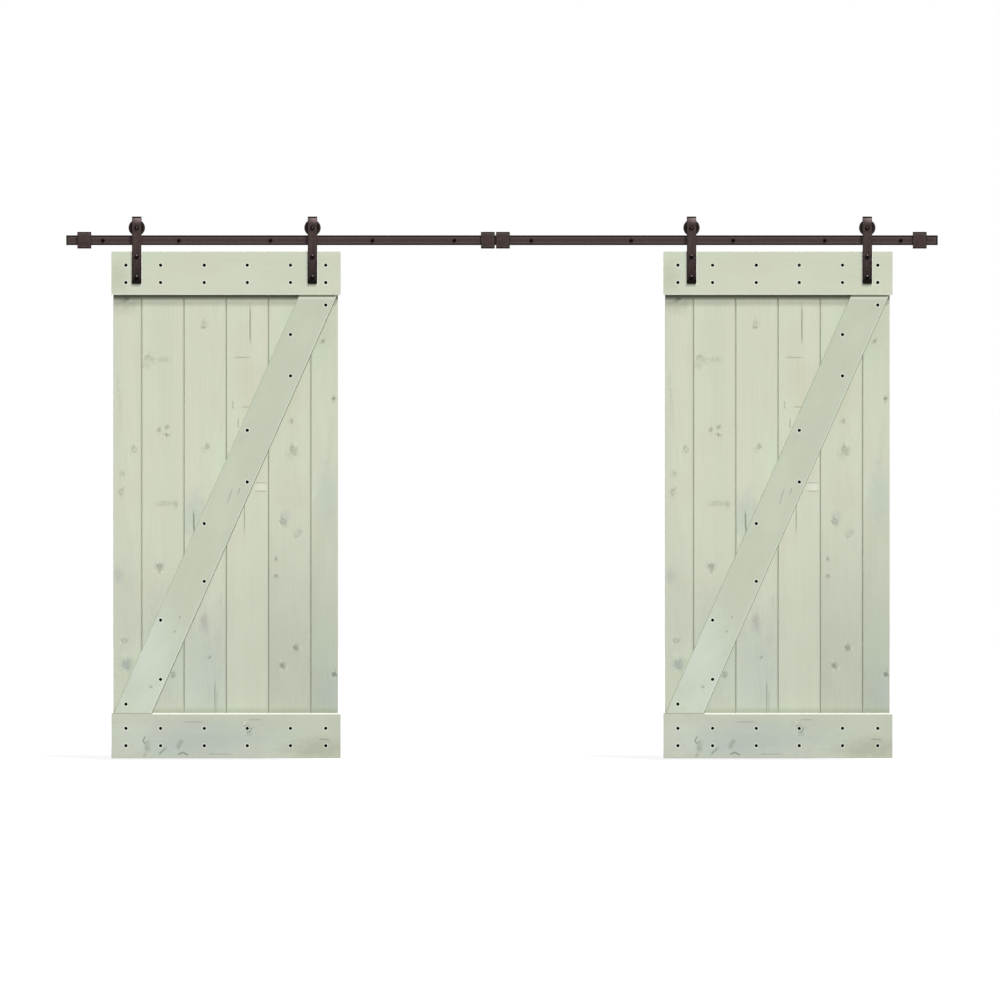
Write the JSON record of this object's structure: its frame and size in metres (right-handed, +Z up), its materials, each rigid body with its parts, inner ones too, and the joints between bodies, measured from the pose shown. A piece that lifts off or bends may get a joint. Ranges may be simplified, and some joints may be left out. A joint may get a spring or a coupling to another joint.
{
  "type": "double sliding barn door",
  "caption": "Braced plank barn doors that slide apart on a flat bar track, hung from bent strap hangers with grooved wheels and held between clamp-on stops.",
  "frame": {"origin": "in the mounting plane behind the spacers, at the middle of the track's length and height", "axes": "+X along the track to the right, +Y into the mounting plane, +Z up"},
  "size_m": [3.67, 0.1185, 2.2812],
  "materials": {
    "planks": "sage-green stained pine, satin",
    "cross_boards": "sage-green stained pine, satin",
    "bronze_steel": "dark bronze powder coat",
    "bolt_heads": "dark bronze paint",
    "dark_hardware": "blackened steel",
    "black_screws": "black phosphate",
    "wheel_nylon": "dark nylon",
    "bearing_steel": "ground steel"
  },
  "bodies": {
    "track": {"left_rail": "bronze_steel", "right_rail": "bronze_steel", "rail_joiner": "bronze_steel", "rail_spacers": "bronze_steel", "lag_washers": "bronze_steel", "lag_screws": "dark_hardware", "joiner_screws": "black_screws", "stop_set_screws": "black_screws", "left_outer_stop": "bronze_steel", "left_inner_stop": "bronze_steel", "right_outer_stop": "bronze_steel", "right_inner_stop": "bronze_steel"},
    "left_door": {"left_plank_1": "planks", "left_plank_2": "planks", "left_plank_3": "planks", "left_plank_4": "planks", "left_plank_5": "planks", "left_plank_6": "planks", "left_top_rail": "cross_boards", "left_bottom_rail": "cross_boards", "left_brace": "cross_boards", "left_face_screws": "black_screws", "left_bearing_cores": "bearing_steel", "left_bearing_balls": "bearing_steel", "left_axle_bushes": "bearing_steel", "left_axle_bolts": "bolt_heads", "left_strap_bolts": "bolt_heads", "left_axle_nuts": "dark_hardware", "left_strap_washers": "dark_hardware", "left_strap_nuts": "dark_hardware", "left_outer_strap": "bronze_steel", "left_inner_strap": "bronze_steel"},
    "left_outer_roller": {"left_outer_wheel": "wheel_nylon", "left_outer_bearing": "bearing_steel"},
    "left_inner_roller": {"left_inner_wheel": "wheel_nylon", "left_inner_bearing": "bearing_steel"},
    "right_door": {"right_plank_1": "planks", "right_plank_2": "planks", "right_plank_3": "planks", "right_plank_4": "planks", "right_plank_5": "planks", "right_plank_6": "planks", "right_top_rail": "cross_boards", "right_bottom_rail": "cross_boards", "right_brace": "cross_boards", "right_face_screws": "black_screws", "right_bearing_cores": "bearing_steel", "right_bearing_balls": "bearing_steel", "right_axle_bushes": "bearing_steel", "right_axle_bolts": "bolt_heads", "right_strap_bolts": "bolt_heads", "right_axle_nuts": "dark_hardware", "right_strap_washers": "dark_hardware", "right_strap_nuts": "dark_hardware", "right_outer_strap": "bronze_steel", "right_inner_strap": "bronze_steel"},
    "right_outer_roller": {"right_outer_wheel": "wheel_nylon", "right_outer_bearing": "bearing_steel"},
    "right_inner_roller": {"right_inner_wheel": "wheel_nylon", "right_inner_bearing": "bearing_steel"}
  },
  "joints": [
    {"name": "left_door_slide", "type": "slide", "parent": "track", "child": "left_door", "axis": [1, 0, 0], "range_m": [-0.161, 0.677]},
    {"name": "left_outer_roll", "type": "hinge", "parent": "left_door", "child": "left_outer_roller", "pos_m": [-1.538, -0.041, 0.05245], "axis": [0, 1, 0], "continuous": true},
    {"name": "left_inner_roll", "type": "hinge", "parent": "left_door", "child": "left_inner_roller", "pos_m": [-0.798, -0.041, 0.05245], "axis": [0, 1, 0], "continuous": true},
    {"name": "right_door_slide", "type": "slide", "parent": "track", "child": "right_door", "axis": [1, 0, 0], "range_m": [-0.677, 0.161]},
    {"name": "right_outer_roll", "type": "hinge", "parent": "right_door", "child": "right_outer_roller", "pos_m": [1.538, -0.041, 0.05245], "axis": [0, 1, 0], "continuous": true},
    {"name": "right_inner_roll", "type": "hinge", "parent": "right_door", "child": "right_inner_roller", "pos_m": [0.798, -0.041, 0.05245], "axis": [0, 1, 0], "continuous": true}
  ],
  "couplings": [
    {"joint": "left_outer_roll", "follows": "left_door_slide", "rad_per_m": 31.746},
    {"joint": "left_inner_roll", "follows": "left_door_slide", "rad_per_m": 31.746},
    {"joint": "right_outer_roll", "follows": "right_door_slide", "rad_per_m": 31.746},
    {"joint": "right_inner_roll", "follows": "right_door_slide", "rad_per_m": 31.746}
  ]
}
